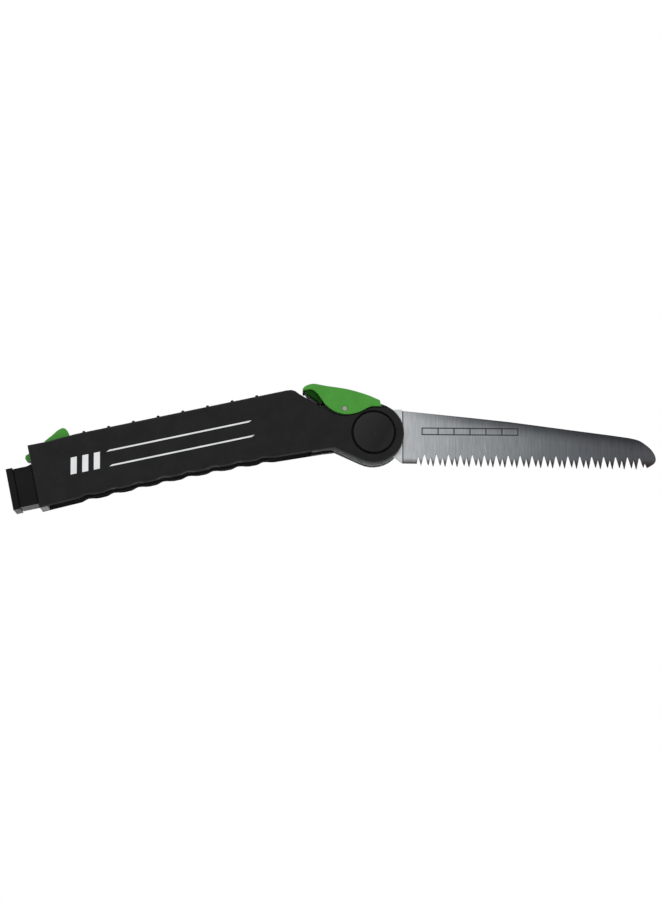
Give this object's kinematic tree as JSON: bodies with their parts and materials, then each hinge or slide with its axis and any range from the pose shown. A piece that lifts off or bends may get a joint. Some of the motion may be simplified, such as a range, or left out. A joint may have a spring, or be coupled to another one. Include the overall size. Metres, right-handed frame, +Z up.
{
  "type": "folding pruning saw",
  "caption": "Folding pruning saw with a straight toothed blade, a rocker blade lock on the head, a finger-grooved handle and a slide-out extension section held by a rear latch.",
  "frame": {"origin": "centre of the end cap's flat rear face, with the extension section pushed in", "axes": "+X along the handle towards the blade, +Y across the handle to the left shell, +Z up, with the teeth facing down"},
  "size_m": [0.5752, 0.0352, 0.1447],
  "materials": {
    "shell": "fine matte texture, charcoal",
    "grip": "soft matte black",
    "foot": "plain light grey",
    "steel": "plain turned or stamped steel",
    "blade": "ground across its length, hardened tooth tips",
    "tang_plate": "pale satin",
    "lever": "satin green",
    "section": "black anodised",
    "cap": "matte black"
  },
  "bodies": {
    "handle": {"left_shell": "shell", "right_shell": "shell", "grip_strip": "grip", "rear_foot": "foot", "left_liner": "steel", "right_liner": "steel", "pivot_bolt": "steel", "pivot_nut": "steel", "pivot_sleeve": "steel", "left_pivot_washer": "steel", "right_pivot_washer": "steel", "left_pivot_cap": "cap", "right_pivot_cap": "cap", "blade_stop_pin": "steel", "lock_lever_pin": "steel", "latch_lever_pin": "steel", "lock_spring": "steel", "latch_spring": "steel", "shell_screw_1": "steel", "shell_screw_2": "steel", "shell_screw_3": "steel", "shell_screw_4": "steel", "shell_screw_5": "steel"},
    "saw_blade": {"blade": "blade", "left_tang_plate": "tang_plate", "right_tang_plate": "tang_plate", "tang_rivet_1": "steel", "tang_rivet_2": "steel"},
    "blade_lock": {"lock_lever": "lever"},
    "length_latch": {"latch_lever": "lever"},
    "extension": {"extension_section": "section", "guide_shoe": "cap", "end_cap": "cap", "end_cap_pin_1": "steel", "end_cap_pin_2": "steel"}
  },
  "joints": [
    {"name": "blade_fold", "type": "hinge", "parent": "handle", "child": "saw_blade", "pos_m": [0.329, 0, -0.017], "axis": [0, 1, 0], "range_deg": [0, 167]},
    {"name": "blade_lock_rock", "type": "hinge", "parent": "handle", "child": "blade_lock", "pos_m": [0.3081, 0, 0.0097], "axis": [0, 1, 0], "range_deg": [-5.5, 0], "stiffness_Nm_per_rad": 0.6, "springref_deg": 8.59, "deforming": ["lock_spring"]},
    {"name": "length_latch_rock", "type": "hinge", "parent": "handle", "child": "length_latch", "pos_m": [0.045, 0, 0.0275], "axis": [0, 1, 0], "range_deg": [0, 7], "stiffness_Nm_per_rad": 0.4, "springref_deg": -8.59, "deforming": ["latch_spring"]},
    {"name": "extension_slide", "type": "slide", "parent": "handle", "child": "extension", "axis": [-1, 0, 0], "range_m": [0, 0.2]}
  ]
}
